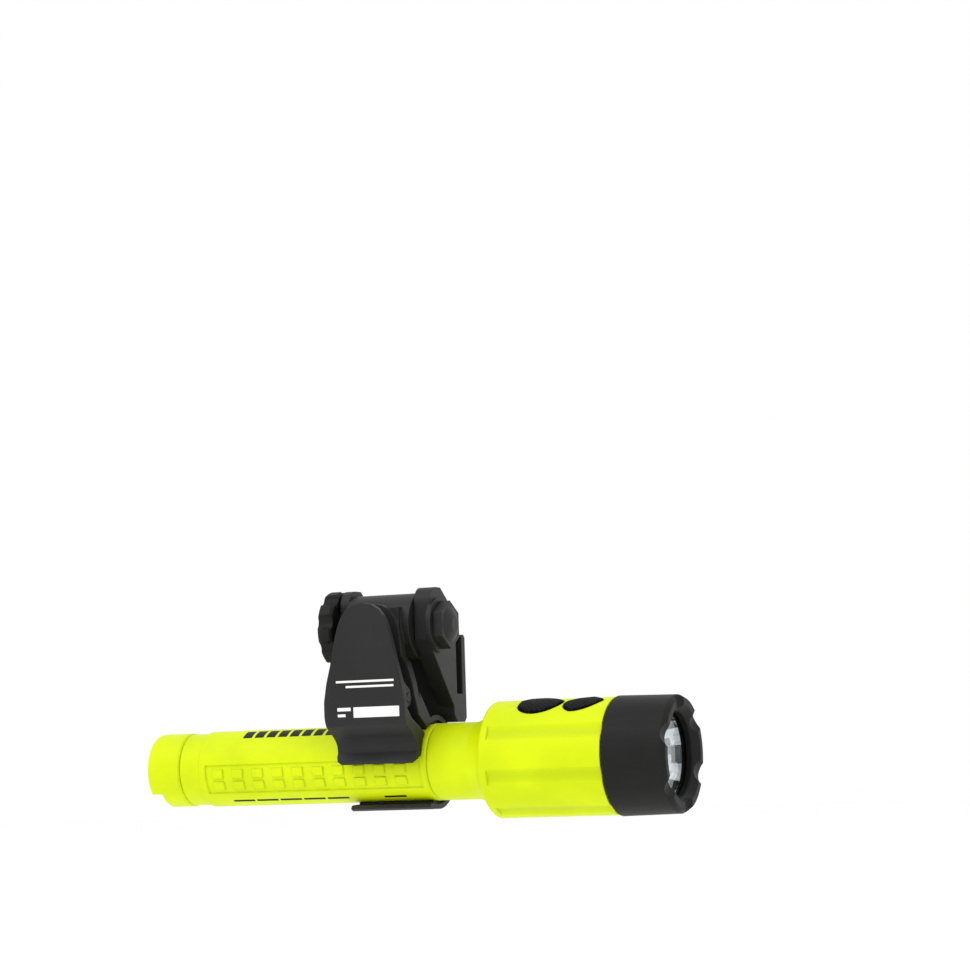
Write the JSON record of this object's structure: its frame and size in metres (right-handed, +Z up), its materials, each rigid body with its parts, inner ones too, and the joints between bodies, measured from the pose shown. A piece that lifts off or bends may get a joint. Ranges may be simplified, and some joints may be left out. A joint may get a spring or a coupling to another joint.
{
  "type": "firefighter hand light with helmet brim clamp",
  "caption": "Bright lime hand light with round head, black bezel and rubber buttons, held in a sprung clip on a tilting clamp for a helmet brim.",
  "frame": {"origin": "middle of the flat face that the helmet brim is clamped against", "axes": "+X along the main beam, +Z up with the clamp on a level brim, +Y out of the seat face, toward the helmet"},
  "size_m": [0.1897, 0.0611, 0.077],
  "materials": {
    "lime_plastic": "satin",
    "black_plastic": "satin",
    "bezel_rubber": "satin",
    "button_rubber": "matte",
    "pad_rubber": "matte",
    "seal_rubber": "satin",
    "clear_lens": "polished",
    "reflector_metal": "mirror",
    "steel": "machined",
    "spring_steel": "bright",
    "brass": "machined",
    "cell_can": "printed sleeve",
    "heat_sink_metal": "machined",
    "board": "satin",
    "led_phosphor": "gloss",
    "switch_case": "gloss"
  },
  "bodies": {
    "bracket": {"brim_bracket": "black_plastic", "clamp_insert": "brass", "hinge_bolt": "black_plastic"},
    "clamp_slider": {"clamp_pad": "pad_rubber"},
    "clamp_turner": {"clamp_screw": "steel"},
    "knob_slider": {"knob_washer": "steel"},
    "knob_turner": {"knob": "black_plastic", "knob_insert": "brass"},
    "clip": {"clip_rear_jaw": "black_plastic", "jaw_pad_rear": "pad_rubber", "pivot_pin": "steel", "clip_spring": "spring_steel"},
    "lever": {"clip_front_lever": "black_plastic", "jaw_pad_front": "pad_rubber"},
    "light": {"battery_tube": "lime_plastic", "tail_o_ring": "seal_rubber", "battery_cell_rear": "cell_can", "battery_cell_front": "cell_can", "head_housing": "lime_plastic", "front_contact": "brass", "driver_board": "board", "heat_sink": "heat_sink_metal", "led_board": "board", "led_emitter": "led_phosphor", "reflector": "reflector_metal", "bezel_o_ring": "seal_rubber", "switch_board": "board", "rear_switch": "switch_case", "front_switch": "switch_case", "flood_lens": "clear_lens", "flood_gasket": "seal_rubber", "flood_board": "board", "flood_leds": "led_phosphor"},
    "tail_slider": {"tail_contact_plate": "brass", "tail_spring": "spring_steel"},
    "tail_turner": {"tail_cap": "lime_plastic"},
    "bezel_slider": {"lens": "clear_lens", "lens_gasket": "seal_rubber"},
    "bezel_turner": {"bezel": "bezel_rubber"},
    "rear_key": {"rear_button": "button_rubber", "rear_plunger": "switch_case"},
    "front_key": {"front_button": "button_rubber", "front_plunger": "switch_case"}
  },
  "joints": [
    {"name": "mount_tilt", "type": "hinge", "parent": "bracket", "child": "clip", "pos_m": [0, -0.0145, 0.012], "axis": [-1, 0, 0], "range_deg": [0, 90]},
    {"name": "clip_open", "type": "hinge", "parent": "clip", "child": "lever", "pos_m": [0, -0.03075, -0.012], "axis": [-1, 0, 0], "range_deg": [0, 9], "stiffness_Nm_per_rad": 0.8, "springref_deg": -8.59},
    {"name": "light_slide", "type": "slide", "parent": "clip", "child": "light", "axis": [1, 0, 0], "range_m": [-0.012, 0.045]},
    {"name": "tail_travel", "type": "slide", "parent": "light", "child": "tail_slider", "axis": [-1, 0, 0], "range_m": [0, 0.0045]},
    {"name": "tail_turn", "type": "hinge", "parent": "tail_slider", "child": "tail_turner", "pos_m": [-0.088, -0.0105, -0.033], "axis": [-1, 0, 0], "range_deg": [0, 1080]},
    {"name": "bezel_travel", "type": "slide", "parent": "light", "child": "bezel_slider", "axis": [1, 0, 0], "range_m": [0, 0.0045]},
    {"name": "bezel_turn", "type": "hinge", "parent": "bezel_slider", "child": "bezel_turner", "pos_m": [0.09, -0.0105, -0.033], "axis": [1, 0, 0], "range_deg": [0, 1080]},
    {"name": "rear_button_press", "type": "slide", "parent": "light", "child": "rear_key", "axis": [0, 0.309, -0.9511], "range_m": [0, 0.0006], "stiffness_N_per_m": 1500, "springref_m": -0.0004},
    {"name": "front_button_press", "type": "slide", "parent": "light", "child": "front_key", "axis": [0, 0.309, -0.9511], "range_m": [0, 0.0006], "stiffness_N_per_m": 1500, "springref_m": -0.0004},
    {"name": "clamp_travel", "type": "slide", "parent": "bracket", "child": "clamp_slider", "axis": [0, -1, 0], "range_m": [0, 0.0028]},
    {"name": "clamp_turn", "type": "hinge", "parent": "clamp_slider", "child": "clamp_turner", "pos_m": [0.00165, 0.01, -0.0005], "axis": [0, -1, 0], "range_deg": [0, 1440]},
    {"name": "knob_travel", "type": "slide", "parent": "bracket", "child": "knob_slider", "axis": [-1, 0, 0], "range_m": [0, 0.0025]},
    {"name": "knob_turn", "type": "hinge", "parent": "knob_slider", "child": "knob_turner", "pos_m": [-0.02, -0.0145, 0.012], "axis": [-1, 0, 0], "range_deg": [0, 720]}
  ],
  "couplings": [
    {"joint": "tail_travel", "follows": "tail_turn", "m_per_rad": 0.00023873},
    {"joint": "bezel_travel", "follows": "bezel_turn", "m_per_rad": 0.00023873},
    {"joint": "clamp_travel", "follows": "clamp_turn", "m_per_rad": 0.00011141},
    {"joint": "knob_travel", "follows": "knob_turn", "m_per_rad": 0.00019894}
  ]
}
